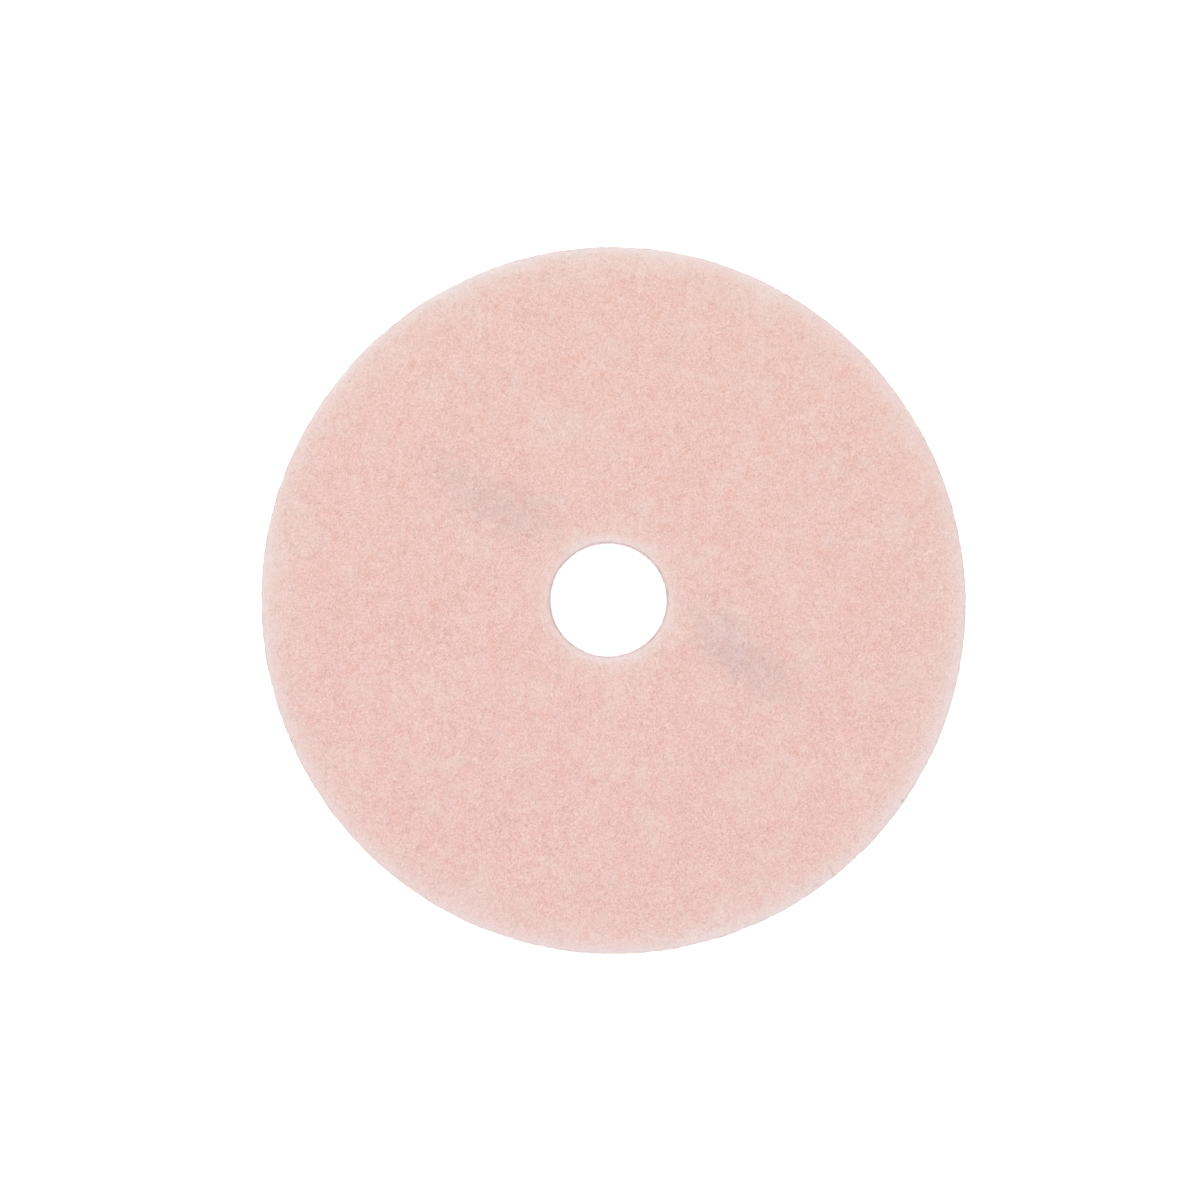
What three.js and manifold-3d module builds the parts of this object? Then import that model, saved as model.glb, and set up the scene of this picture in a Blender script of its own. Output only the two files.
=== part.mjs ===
// Floor polishing pad: a thick round disc of springy nonwoven fibre web with one hole for the driver.
// Lengths are in millimetres. The pad lies flat, +Z is up, and the origin is the centre of its
// outline on its underside. +Y is the side that is at the top when the pad is seen from above.
import * as THREE from "three";
import { mergeVertices } from "three/addons/utils/BufferGeometryUtils.js";
import Module from "manifold-3d";

// The disc
const PAD_DIAMETER = 508; // the 20 inch size
const PAD_THICKNESS = 25.4; // one inch of web
const PAD_OVAL = 0.65; // how far the soft outline swells one way and draws in the other, in radius
const PAD_OVAL_TURN = 114; // degrees from +X to the outline's long way

// The hole that centres the pad on its driver
const HOLE_DIAMETER = 82.5; // the 3 1/4 inch punch
const HOLE_SHIFT_X = -3.5; // the punch landed a little off centre
const HOLE_SHIFT_Y = 0.65;
const HOLE_OVAL = 0.6; // how far the hole has gone oval, in radius
const HOLE_OVAL_TURN = 0; // degrees from +X to the hole's long way

// The cut edges: the blade draws both faces down at the cut, and the wall between them bellies out
const RIM_ROLL_WIDTH = 5;
const RIM_ROLL_DEPTH = 6;
const HOLE_ROLL_WIDTH = 3.5;
const HOLE_ROLL_DEPTH = 4.5;
const WALL_BELLY = 0.8;
const ROLL_SHARE = 0.4; // a roll takes no more than this share of the thickness, on a thin pad

// How finely the round forms are divided
const RIM_SEGMENTS = 128;
const HOLE_SEGMENTS = 64;
const ROLL_STEPS = 6;
const WALL_STEPS = 4;

const PUNCH_OVERRUN = 5; // how far the punch runs past each face, so that it cuts right through
const MERGE_DISTANCE = 1e-3; // points closer than this are one point

const wasm = await Module();
wasm.setup();

// The section of a cut edge from the lower face to the upper one, as pairs of inset and height. The
// inset is how far the web lies back from the edge's furthest line, which is at mid thickness.
function cutEdge(rollWidth, rollDepth) {
  const depth = Math.min(rollDepth, ROLL_SHARE * PAD_THICKNESS);
  const lowerRoll = [];
  for (let i = 0; i <= ROLL_STEPS; i++) {
    const angle = ((i / ROLL_STEPS) * Math.PI) / 2;
    lowerRoll.push([WALL_BELLY + rollWidth * (1 - Math.sin(angle)), depth * (1 - Math.cos(angle))]);
  }
  const wall = [];
  for (let i = 1; i < WALL_STEPS; i++) {
    const along = i / WALL_STEPS;
    const height = depth + along * (PAD_THICKNESS - 2 * depth);
    wall.push([WALL_BELLY * (1 - Math.sin(along * Math.PI)), height]);
  }
  const upperRoll = lowerRoll.map(([inset, height]) => [inset, PAD_THICKNESS - height]).reverse();
  return [...lowerRoll, ...wall, ...upperRoll];
}

// A solid of revolution about Z from [radius, height] pairs that run from the bottom to the top.
function turned(profile, segments) {
  const points = profile.map(([radius, height]) => new THREE.Vector2(radius, height));
  return new THREE.LatheGeometry(points, segments).rotateX(Math.PI / 2);
}

// Pulls a round form slightly oval about Z: its radius grows by amount along turn and shrinks across it.
function pulledOval(geometry, radius, amount, turn) {
  const position = geometry.getAttribute("position");
  const longWay = THREE.MathUtils.degToRad(turn);
  for (let i = 0; i < position.count; i++) {
    const x = position.getX(i);
    const y = position.getY(i);
    const stretch = 1 + (amount / radius) * Math.cos(2 * (Math.atan2(y, x) - longWay));
    position.setXY(i, x * stretch, y * stretch);
  }
  return geometry;
}

// The uncut disc, with its rolled rim.
function discBlank() {
  const radius = PAD_DIAMETER / 2;
  const rim = cutEdge(RIM_ROLL_WIDTH, RIM_ROLL_DEPTH).map(([inset, height]) => [radius - inset, height]);
  const profile = [[0, 0], ...rim, [0, PAD_THICKNESS]];
  return pulledOval(turned(profile, RIM_SEGMENTS), radius, PAD_OVAL, PAD_OVAL_TURN);
}

// What the punch takes out: a waisted plug that leaves the hole's edges rolled on both faces.
function holePlug() {
  const radius = HOLE_DIAMETER / 2;
  const wall = cutEdge(HOLE_ROLL_WIDTH, HOLE_ROLL_DEPTH).map(([inset, height]) => [radius + inset, height]);
  const mouth = wall[0][0];
  const profile = [
    [0, -PUNCH_OVERRUN],
    [mouth, -PUNCH_OVERRUN],
    ...wall,
    [mouth, PAD_THICKNESS + PUNCH_OVERRUN],
    [0, PAD_THICKNESS + PUNCH_OVERRUN],
  ];
  const plug = pulledOval(turned(profile, HOLE_SEGMENTS), radius, HOLE_OVAL, HOLE_OVAL_TURN);
  return plug.translate(HOLE_SHIFT_X, HOLE_SHIFT_Y, 0);
}

// A closed geometry as a solid that can be cut.
function solidOf(geometry) {
  const bare = new THREE.BufferGeometry().setIndex(geometry.index);
  bare.setAttribute("position", geometry.getAttribute("position"));
  const merged = mergeVertices(bare, MERGE_DISTANCE);
  return new wasm.Manifold(
    new wasm.Mesh({
      numProp: 3,
      vertProperties: new Float32Array(merged.getAttribute("position").array),
      triVerts: new Uint32Array(merged.index.array),
    }),
  );
}

// A solid as a geometry with flat faces.
function geometryOf(solid) {
  const { vertProperties, triVerts } = solid.getMesh();
  const geometry = new THREE.BufferGeometry();
  geometry.setAttribute("position", new THREE.BufferAttribute(vertProperties, 3));
  geometry.setIndex(new THREE.BufferAttribute(triVerts, 1));
  const faceted = geometry.toNonIndexed();
  faceted.computeVertexNormals();
  return faceted;
}

// The whole pad is one piece of web: crimped fibres bonded with resin, dyed pale pink.
function fibreWebDisc() {
  const web = new THREE.MeshStandardMaterial({ color: 0xecc7be, roughness: 0.95, metalness: 0 });
  const cutDisc = solidOf(discBlank()).subtract(solidOf(holePlug()));
  const disc = new THREE.Mesh(geometryOf(cutDisc), web);
  disc.name = "fibre_web_disc";
  return disc;
}

const pad = new THREE.Group();
pad.name = "floor_polishing_pad";
pad.add(fibreWebDisc());

export default pad;
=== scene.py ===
"""The looks of a floor polishing pad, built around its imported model.

The pad is one thick disc of nonwoven web: crimped fibres laid at random in level layers, bonded with
resin and dyed pale pink. One closed mesh makes the body of the web, and loose strands lie over each
of its surfaces. Lengths are in metres, angles in degrees, and places are in the model's own frame.
"""

import logging
import math
from dataclasses import dataclass, field
from enum import Enum
from typing import Protocol

import bpy
import numpy as np
from bpy.types import Material, Mesh, Node, NodeSocket, NodeTree, Object
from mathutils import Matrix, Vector, noise


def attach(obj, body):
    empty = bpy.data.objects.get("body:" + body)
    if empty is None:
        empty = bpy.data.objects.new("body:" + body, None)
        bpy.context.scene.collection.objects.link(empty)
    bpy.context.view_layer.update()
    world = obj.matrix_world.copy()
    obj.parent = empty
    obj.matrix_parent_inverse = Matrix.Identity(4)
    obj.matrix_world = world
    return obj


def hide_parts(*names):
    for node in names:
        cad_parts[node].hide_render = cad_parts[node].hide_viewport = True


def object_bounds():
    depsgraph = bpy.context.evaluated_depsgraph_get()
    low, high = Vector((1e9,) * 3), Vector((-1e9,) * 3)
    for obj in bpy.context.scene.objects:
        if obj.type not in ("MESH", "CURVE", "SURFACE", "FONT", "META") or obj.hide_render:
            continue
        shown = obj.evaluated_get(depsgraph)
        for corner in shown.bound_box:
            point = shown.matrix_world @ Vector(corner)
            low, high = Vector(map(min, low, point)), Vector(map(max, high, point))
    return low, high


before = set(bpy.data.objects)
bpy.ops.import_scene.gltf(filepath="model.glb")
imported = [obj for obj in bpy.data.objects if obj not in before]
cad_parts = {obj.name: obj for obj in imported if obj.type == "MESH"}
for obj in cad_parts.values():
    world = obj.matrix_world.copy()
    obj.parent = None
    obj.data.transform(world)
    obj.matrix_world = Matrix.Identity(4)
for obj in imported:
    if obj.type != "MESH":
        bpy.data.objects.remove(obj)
cad_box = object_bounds()

LOG = logging.getLogger("floor polishing pad")
MM = 0.001
CAD_NODE = "fibre_web_disc"
THICKNESS = cad_box[1][2] - cad_box[0][2]
MID_HEIGHT = (cad_box[1][2] + cad_box[0][2]) / 2
BODY = "root"
BAKE_MAP = "OFBake"

MATH = "ShaderNodeMath"
VECTOR_MATH = "ShaderNodeVectorMath"
MAP_RANGE = "ShaderNodeMapRange"
# Blender's noise has this mean, and mostly stays between these two values
NOISE_MEAN, NOISE_LOW, NOISE_HIGH = 0.5, 0.3, 0.7
# The Mix node's colour sockets, which share their names with its other kinds
MIX_FACTOR, MIX_UNDER, MIX_OVER, MIX_RESULT = 0, 6, 7, 2
# The Random Value node's float sockets
RANDOM_LOW, RANDOM_HIGH, RANDOM_RESULT, RANDOM_SEED = 2, 3, 1, 8
# How far from mid height a cut wall is all wall, and where it has turned into a face
WALL_CORE, WALL_REACH = 4.0 * MM, 10.5 * MM


def linear(hex_colour: str) -> tuple[float, float, float, float]:
    """Turns an sRGB colour into linear light.

    Args:
        hex_colour: Six hex digits after a hash sign.

    Returns:
        Red, green, blue and an alpha of 1, from 0 to 1.
    """
    channels = [int(hex_colour[i : i + 2], 16) / 255 for i in (1, 3, 5)]
    return (*[c / 12.92 if c <= 0.04045 else ((c + 0.055) / 1.055) ** 2.4 for c in channels], 1.0)


def add_node(tree: NodeTree, kind: str, inputs: dict | None = None, **settings: object) -> Node:
    """Adds a node to a tree.

    Args:
        tree: A shader or geometry tree.
        kind: The node's type name.
        inputs: Socket name or number to a value, to the output that feeds it, or to a node, whose
            first output does.
        **settings: The node's own settings, such as its operation.

    Returns:
        The new node.
    """
    node = tree.nodes.new(kind)
    for name, value in settings.items():
        setattr(node, name, value)
    for key, value in (inputs or {}).items():
        source = value.outputs[0] if isinstance(value, Node) else value
        if isinstance(source, NodeSocket):
            tree.links.new(source, node.inputs[key])
        else:
            node.inputs[key].default_value = source
    return node


def steps_towards(angles: np.ndarray) -> np.ndarray:
    """Gives the x and y of a unit step towards each angle, in radians."""
    return np.stack([np.cos(angles), np.sin(angles)], axis=1)


class Region(Enum):
    """The surfaces of the pad that strands lie on."""

    UPPER = "upper"
    RIM = "rim"
    UNDER = "under"
    HOLE = "hole"


@dataclass(frozen=True)
class Wave:
    """A slow swell of an outline: how many to a turn, how high, and the angle of a crest."""

    count: int
    height: float
    crest: float


@dataclass(frozen=True)
class Outline:
    """A nearly round outline, seen from above."""

    centre: tuple[float, float]
    radius: float
    waves: tuple[Wave, ...]

    def points(self, angles: np.ndarray, outset: float) -> np.ndarray:
        """Finds points on the outline.

        Args:
            angles: Their directions from the centre, in radians.
            outset: How far outside the outline they lie.

        Returns:
            One row of x and y for each angle.
        """
        radii = np.full_like(angles, self.radius + outset)
        for wave in self.waves:
            radii += wave.height * np.cos(wave.count * (angles - math.radians(wave.crest)))
        return np.array(self.centre) + radii[:, None] * steps_towards(angles)


@dataclass(frozen=True)
class CutEdge:
    """The section of a die-cut edge: a roll at each face, and a wall that bellies out between them."""

    roll_width: float
    roll_depth: float
    belly: float = 0.8 * MM

    def section(self, thickness: float, step: float) -> list[tuple[float, float]]:
        """Draws the section from the lower face to the upper one.

        Args:
            thickness: The web's thickness.
            step: The wanted distance between points.

        Returns:
            Pairs of inset from the edge's furthest line and height.
        """
        # A quarter of an ellipse is about this long
        roll_length = math.pi / 4 * (self.roll_width + self.roll_depth)
        steps = math.ceil(roll_length / step)
        lower = []
        for i in range(steps + 1):
            angle = math.pi / 2 * i / steps
            inset = self.belly + self.roll_width * (1 - math.sin(angle))
            lower.append((inset, self.roll_depth * (1 - math.cos(angle))))
        wall_height = thickness - 2 * self.roll_depth
        wall_steps = math.ceil(wall_height / step)
        wall = []
        for i in range(1, wall_steps):
            along = i / wall_steps
            inset = self.belly * (1 - math.sin(math.pi * along))
            wall.append((inset, self.roll_depth + along * wall_height))
        upper = [(inset, thickness - height) for inset, height in reversed(lower)]
        return lower + wall + upper


@dataclass(frozen=True)
class Lumps:
    """Lumps of one size in the web, drawn out along its level layers by a factor."""

    size: float
    height: float
    lie: float = 1.0

    def heights(self, points: np.ndarray) -> np.ndarray:
        """Gives how far each point stands out of the plain surface."""
        scaled = points / (self.size * np.array([self.lie, self.lie, 1.0]))
        return self.height * np.array([noise.noise(Vector(point)) for point in scaled])


@dataclass(frozen=True)
class Ring:
    """One loop of vertices round the hole: where it starts in the mesh, how many, and its first angle."""

    start: int
    count: int
    phase: float

    def angle(self, i: int) -> float:
        """Gives the angle of the loop's i-th vertex, in radians."""
        return self.phase + 2 * math.pi * i / self.count

    def vertex(self, i: int) -> int:
        """Gives the mesh's number of the loop's i-th vertex."""
        return self.start + i % self.count


def joined(first: Ring, second: Ring) -> list[tuple[int, int, int]]:
    """Fills the band between two loops with triangles of even size.

    Args:
        first: The loop that comes first along the section.
        second: The next loop, which may have another count.

    Returns:
        Triangles that face out of the web.
    """
    faces = []
    i = j = 0
    while i < first.count or j < second.count:
        a, b = first.vertex(i), second.vertex(j)
        if j == second.count or (i < first.count and first.angle(i + 1) <= second.angle(j + 1)):
            i += 1
            faces.append((a, b, first.vertex(i)))
        else:
            j += 1
            faces.append((a, b, second.vertex(j)))
    return faces


@dataclass(frozen=True)
class Station:
    """A place on the pad's section, from which one loop of vertices is drawn."""

    across: float
    from_hole: float
    from_rim: float
    height: float
    pitch: float
    region: Region


@dataclass(frozen=True)
class MapDisc:
    """A round island in the body's bake map, on which half of the web is laid out flat."""

    centre: float
    radius: float

    def places(self, unrolled: np.ndarray, angles: np.ndarray) -> np.ndarray:
        """Finds places on the island from the distance out, as a share of the furthest, and the angle."""
        return self.centre + self.radius * unrolled[:, None] * steps_towards(angles)


@dataclass(frozen=True)
class Nick:
    """A fine straight cut in the upper face, from a place on the face to one past the rim."""

    start: tuple[float, float]
    end: tuple[float, float]
    width: float
    depth: float

    @property
    def length(self) -> float:
        """The nick's length."""
        return math.dist(self.start, self.end)

    @property
    def turn(self) -> float:
        """The nick's direction, in radians."""
        return math.atan2(self.end[1] - self.start[1], self.end[0] - self.start[0])

    def heights(self, points: np.ndarray) -> np.ndarray:
        """Finds how deep the nick goes in at each point.

        Args:
            points: Rows of x, y and z.

        Returns:
            Heights that are 0 beside the nick and less than 0 in it.
        """
        aside = np.array([-math.sin(self.turn), math.cos(self.turn)])
        forward = np.array([math.cos(self.turn), math.sin(self.turn)])
        off = points[:, :2] - np.array(self.start)
        along = np.clip(off @ forward / self.length, 0, 1)
        return -self.depth * np.exp(-((off @ aside / self.width) ** 2)) * np.sin(along * math.pi / 2) ** 2


RIM_NICK = Nick(
    start=(152.3 * MM, -185.7 * MM), end=(160.0 * MM, -201.0 * MM), width=1.1 * MM, depth=0.6 * MM
)


@dataclass
class WebBody:
    """The body of the web: one closed mesh that stands for the whole pad.

    Attributes:
        hole: The hole's outline.
        rim: The pad's outline.
        thickness: From the underside to the upper face.
        hole_edge: The section of the cut round the hole.
        rim_edge: The section of the cut round the rim.
        skin: How far the body lies under the pad's surface, which leaves room for the strands.
        fine_pitch: The distance between vertices on the upper face and the walls.
        under_pitch: The distance between vertices on the underside.
        face_lumps: The relief of the upper face.
        under_lumps: The relief of the underside.
        wall_lumps: The relief of both walls, drawn out along the web's layers.
        seed: What the loops' first angles are drawn from.
        upper_map: The island for the upper half, which is the larger because it is seen most.
        lower_map: The island for the lower half.
        map_hole: The radius that is left open in the middle of an island.
    """

    hole: Outline
    rim: Outline
    thickness: float
    hole_edge: CutEdge = CutEdge(roll_width=3.5 * MM, roll_depth=4.5 * MM)
    rim_edge: CutEdge = CutEdge(roll_width=5.0 * MM, roll_depth=6.0 * MM)
    skin: float = 0.3 * MM
    fine_pitch: float = 2.0 * MM
    under_pitch: float = 2.9 * MM
    face_lumps: tuple[Lumps, ...] = (
        Lumps(55 * MM, 0.40 * MM),
        Lumps(11 * MM, 0.22 * MM),
        Lumps(5 * MM, 0.10 * MM),
    )
    under_lumps: tuple[Lumps, ...] = (Lumps(11 * MM, 0.25 * MM),)
    wall_lumps: tuple[Lumps, ...] = (Lumps(3.2 * MM, 0.32 * MM, lie=6.0), Lumps(5 * MM, 0.25 * MM))
    seed: int = 11
    upper_map: MapDisc = MapDisc(centre=0.365, radius=0.36)
    lower_map: MapDisc = MapDisc(centre=0.785, radius=0.21)
    map_hole: float = 30 * MM
    points: np.ndarray = field(init=False)
    angles: np.ndarray = field(init=False)
    unrolled: np.ndarray = field(init=False)
    faces: list[tuple[int, int, int]] = field(init=False)
    regions: list[Region] = field(init=False)
    in_upper_half: list[bool] = field(init=False)

    def stations(self) -> list[Station]:
        """Lists the section's stations once round: hole wall, upper face, rim, under face.

        Returns:
            The stations, each with its own place and region.
        """
        fine = self.fine_pitch
        mouth = self.hole_edge.belly + self.hole_edge.roll_width
        brink = self.rim_edge.belly + self.rim_edge.roll_width
        found = []
        for inset, height in self.hole_edge.section(self.thickness, fine):
            region = self.region_at(height, self.hole_edge.roll_depth, Region.HOLE)
            found.append(Station(0.0, inset, brink, height, fine, region))
        span = (self.rim.radius - brink) - (self.hole.radius + mouth)
        steps = math.ceil(span / fine)
        for i in range(1, steps):
            found.append(Station(i / steps, mouth, brink, self.thickness, fine, Region.UPPER))
        for inset, height in reversed(self.rim_edge.section(self.thickness, fine)):
            region = self.region_at(height, self.rim_edge.roll_depth, Region.RIM)
            found.append(Station(1.0, mouth, inset, height, fine, region))
        steps = math.ceil(span / self.under_pitch)
        for i in range(steps - 1, 0, -1):
            found.append(Station(i / steps, mouth, brink, 0.0, self.under_pitch, Region.UNDER))
        return found

    def region_at(self, height: float, roll_depth: float, wall: Region) -> Region:
        """Names the surface that a point of a cut edge belongs to: its rolls go with the faces.

        Args:
            height: The point's height.
            roll_depth: How deep the edge's rolls are.
            wall: The region between the rolls.

        Returns:
            The point's region.
        """
        if height > self.thickness - roll_depth:
            return Region.UPPER
        return Region.UNDER if height < roll_depth else wall

    def relief(self, region: Region, points: np.ndarray) -> np.ndarray:
        """Finds how far points stand out of the plain surface.

        Args:
            region: The region that they all lie in.
            points: Rows of x, y and z on the plain surface.

        Returns:
            One height for each point.
        """
        on_faces = {Region.UPPER: self.face_lumps, Region.UNDER: self.under_lumps}
        lumps = on_faces.get(region, self.wall_lumps)
        heights = sum(lump.heights(points) for lump in lumps)
        return heights + RIM_NICK.heights(points) if region is Region.UPPER else heights

    def shape(self) -> None:
        """Works out the mesh: its points, its triangles and the surface that each triangle is on."""
        stations = self.stations()
        random = np.random.default_rng(self.seed)
        flat = np.array([self.flat_place(station) for station in stations])
        ahead, behind = np.roll(flat, -1, axis=0), np.roll(flat, 1, axis=0)
        tangents = (ahead - behind) / np.linalg.norm(ahead - behind, axis=1)[:, None]
        mid_hole, mid_rim, distances = self.unroll(stations, np.linalg.norm(ahead - flat, axis=1))
        rings, loops, turns, start = [], [], [], 0
        for station, (radius, _), (run, rise) in zip(stations, flat, tangents):
            count = round(2 * math.pi * radius / station.pitch)
            ring = Ring(start, count, random.uniform(0, 2 * math.pi / count))
            angles = ring.phase + 2 * math.pi * np.arange(count) / count
            turns.append(angles)
            inner = self.hole.points(angles, station.from_hole)
            outer = self.rim.points(angles, -station.from_rim)
            level = (1 - station.across) * inner + station.across * outer
            loop = np.column_stack([level, np.full(count, station.height)])
            out = np.column_stack([-rise * steps_towards(angles), np.full(count, run)])
            loops.append(loop + out * (self.relief(station.region, loop) - self.skin)[:, None])
            rings.append(ring)
            start += count
        self.points = np.concatenate(loops)
        self.angles = np.concatenate(turns)
        self.unrolled = np.repeat(distances, [ring.count for ring in rings])
        self.faces, self.regions, self.in_upper_half = [], [], []
        for i, ring in enumerate(rings):
            band = joined(ring, rings[(i + 1) % len(rings)])
            self.faces += band
            self.regions += [stations[i].region] * len(band)
            self.in_upper_half += [mid_hole <= i < mid_rim] * len(band)

    def unroll(self, stations: list[Station], steps: np.ndarray) -> tuple[int, int, np.ndarray]:
        """Lays the section out flat for the bake map, cut through half way up each wall.

        Args:
            stations: The section's stations.
            steps: The distance from each station to the next.

        Returns:
            The stations half way up the hole's wall and the rim, and each station's distance out on
            its island, as a share of the furthest.
        """
        mid_hole, mid_rim = (
            min(
                (i for i, station in enumerate(stations) if station.across == wall),
                key=lambda i: abs(stations[i].height - self.thickness / 2),
            )
            for wall in (0.0, 1.0)
        )
        travelled = np.concatenate([[0.0], np.cumsum(steps)[:-1]]) - steps[:mid_hole].sum()
        order = np.arange(len(stations))
        out = np.where(order > mid_rim, steps.sum() - travelled, np.abs(travelled)) + self.map_hole
        return mid_hole, mid_rim, out / out.max()

    def flat_place(self, station: Station) -> tuple[float, float]:
        """Finds a station's place on the section, as if hole and rim were round and in line.

        Args:
            station: The station.

        Returns:
            Its radius and height.
        """
        inner = self.hole.radius + station.from_hole
        outer = self.rim.radius - station.from_rim
        return (1 - station.across) * inner + station.across * outer, station.height

    def surface(self, name: str, region: Region | None = None) -> Object:
        """Makes an object of the whole body, or of one of its surfaces.

        Args:
            name: The object's name.
            region: The surface, or None for the closed body.

        Returns:
            The object, linked to the scene.
        """
        faces = [face for face, on in zip(self.faces, self.regions) if region in (None, on)]
        mesh = bpy.data.meshes.new(name)
        mesh.from_pydata(self.points.tolist(), [], faces)
        mesh.shade_smooth()
        if region is None:
            corners = np.array(faces).ravel()
            upper = np.repeat(self.in_upper_half, 3)[:, None]
            unrolled, angles = self.unrolled[corners], self.angles[corners]
            above = self.upper_map.places(unrolled, angles)
            below = self.lower_map.places(unrolled, angles)
            places = np.where(upper, above, below)
            mesh.uv_layers.new(name=BAKE_MAP).uv.foreach_set("vector", places.ravel())
        piece = bpy.data.objects.new(name, mesh)
        bpy.context.scene.collection.objects.link(piece)
        return piece


def wall_share(tree: NodeTree, place: NodeSocket) -> NodeSocket:
    """Adds the nodes that tell the cut walls from the faces by height.

    Args:
        tree: The material's tree.
        place: Object coordinates.

    Returns:
        A number that is 1 in the middle of a wall and 0 at the faces.
    """
    axes = add_node(tree, "ShaderNodeSeparateXYZ", {0: place})
    off_middle = add_node(tree, MATH, {0: axes.outputs["Z"], 1: MID_HEIGHT}, operation="SUBTRACT")
    share = add_node(
        tree,
        MAP_RANGE,
        {
            "Value": add_node(tree, MATH, {0: off_middle}, operation="ABSOLUTE"),
            "From Min": WALL_REACH,
            "From Max": WALL_CORE,
        },
        interpolation_type="SMOOTHSTEP",
    )
    return share.outputs[0]


class Mark(Protocol):
    """Something that changes the web's colour in places."""

    tint: str

    def mask(self, tree: NodeTree, place: NodeSocket) -> NodeSocket:
        """Adds the nodes that say how strongly the tint shows at a place, from 0 to 1."""


@dataclass(frozen=True)
class Mottle:
    """Soft patches where the fibres took the dye differently."""

    tint: str
    size: float
    start: float
    full: float
    strength: float
    offset: float = 0.0

    def mask(self, tree: NodeTree, place: NodeSocket) -> NodeSocket:
        """Adds a noise and keeps what lies between start and full of it.

        Args:
            tree: The material's tree.
            place: Object coordinates.

        Returns:
            How strongly the tint shows, from 0 to 1.
        """
        spots = add_node(
            tree,
            "ShaderNodeTexNoise",
            {"Vector": place, "W": self.offset, "Scale": 1 / self.size, "Detail": 2.0},
            noise_dimensions="4D",
        )
        shown = add_node(
            tree,
            MAP_RANGE,
            {"Value": spots, "From Min": self.start, "From Max": self.full, "To Max": self.strength},
            interpolation_type="SMOOTHSTEP",
        )
        return shown.outputs[0]


@dataclass(frozen=True)
class Drift:
    """A slow change of the dye from one side of the pad to the other."""

    tint: str
    towards: float
    reach: float
    strength: float

    def mask(self, tree: NodeTree, place: NodeSocket) -> NodeSocket:
        """Adds a slope that is nothing on the near side and the full strength on the far side.

        Args:
            tree: The material's tree.
            place: Object coordinates.

        Returns:
            How strongly the tint shows, from 0 to 1.
        """
        heading = math.radians(self.towards)
        along = add_node(
            tree,
            VECTOR_MATH,
            {0: place, 1: (math.cos(heading), math.sin(heading), 0.0)},
            operation="DOT_PRODUCT",
        )
        slope = add_node(
            tree,
            MAP_RANGE,
            {
                "Value": along.outputs["Value"],
                "From Min": -self.reach,
                "From Max": self.reach,
                "To Max": self.strength,
            },
        )
        return slope.outputs[0]


@dataclass(frozen=True)
class Strata:
    """Level streaks on the cut walls, where the blade lays the web's thin layers open."""

    tint: str
    lie: float
    layer: float
    strength: float
    start: float = 0.45
    full: float = 0.65

    def mask(self, tree: NodeTree, place: NodeSocket) -> NodeSocket:
        """Adds a flat-lying noise that shows on the walls alone.

        Args:
            tree: The material's tree.
            place: Object coordinates.

        Returns:
            How strongly the tint shows, from 0 to 1.
        """
        own = add_node(
            tree,
            "ShaderNodeMapping",
            {"Vector": place, "Scale": (self.lie, self.lie, self.layer)},
            vector_type="TEXTURE",
        )
        layers = add_node(tree, "ShaderNodeTexNoise", {"Vector": own, "Scale": 1.0, "Detail": 2.0})
        dark = add_node(
            tree,
            MAP_RANGE,
            {"Value": layers, "From Min": self.start, "From Max": self.full, "To Max": self.strength},
        )
        shown = add_node(tree, MATH, {0: dark, 1: wall_share(tree, place)}, operation="MULTIPLY")
        return shown.outputs[0]


@dataclass(frozen=True)
class PaintedEdgeLight:
    """Painted light along a cut edge: a paler band where the web is thinner and light comes through
    its fibres, which also lightens the shade on the rolled edge and on the hole's wall.

    Attributes:
        tint: The colour of the painted light.
        outline: The edge's outline.
        side: 1 for a band inside the outline, -1 for one outside it.
        fade: The distance over which the band loses two thirds of its strength.
        strength: How strongly it shows at the edge.
        patch: How much stronger and weaker it gets from place to place.
        patch_size: The size of those places.
        on_wall: The share of it that the cut wall keeps.
    """

    tint: str
    outline: Outline
    side: int
    fade: float
    strength: float
    patch: float = 0.0
    patch_size: float = 90 * MM
    on_wall: float = 0.45

    def mask(self, tree: NodeTree, place: NodeSocket) -> NodeSocket:
        """Adds the painted light, which fades with the distance from the edge and is weaker on the wall.

        Args:
            tree: The material's tree.
            place: Object coordinates.

        Returns:
            How strongly the tint shows, from 0 to 1.
        """
        level = add_node(tree, VECTOR_MATH, {0: place, 1: (1.0, 1.0, 0.0)}, operation="MULTIPLY")
        centre = (*self.outline.centre, 0.0)
        radius = add_node(tree, VECTOR_MATH, {0: level, 1: centre}, operation="DISTANCE")
        depth = add_node(
            tree,
            MATH,
            {
                0: radius.outputs["Value"],
                1: -self.side / self.fade,
                2: self.side * self.outline.radius / self.fade,
            },
            operation="MULTIPLY_ADD",
        )
        inside = add_node(tree, MATH, {0: depth, 1: 0.0}, operation="MAXIMUM")
        fading = add_node(tree, MATH, {0: math.exp(-1), 1: inside}, operation="POWER")
        amount = self.strength
        if self.patch:
            uneven = add_node(
                tree, "ShaderNodeTexNoise", {"Vector": place, "Scale": 1 / self.patch_size, "Detail": 1.0}
            )
            amount = add_node(
                tree,
                MAP_RANGE,
                {
                    "Value": uneven,
                    "From Min": NOISE_LOW,
                    "From Max": NOISE_HIGH,
                    "To Min": self.strength - self.patch,
                    "To Max": self.strength + self.patch,
                },
            )
        shown = add_node(tree, MATH, {0: fading, 1: amount}, operation="MULTIPLY", use_clamp=True)
        kept = add_node(
            tree, MAP_RANGE, {"Value": wall_share(tree, place), "To Min": 1.0, "To Max": self.on_wall}
        )
        return add_node(tree, MATH, {0: shown, 1: kept}, operation="MULTIPLY").outputs[0]


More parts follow.
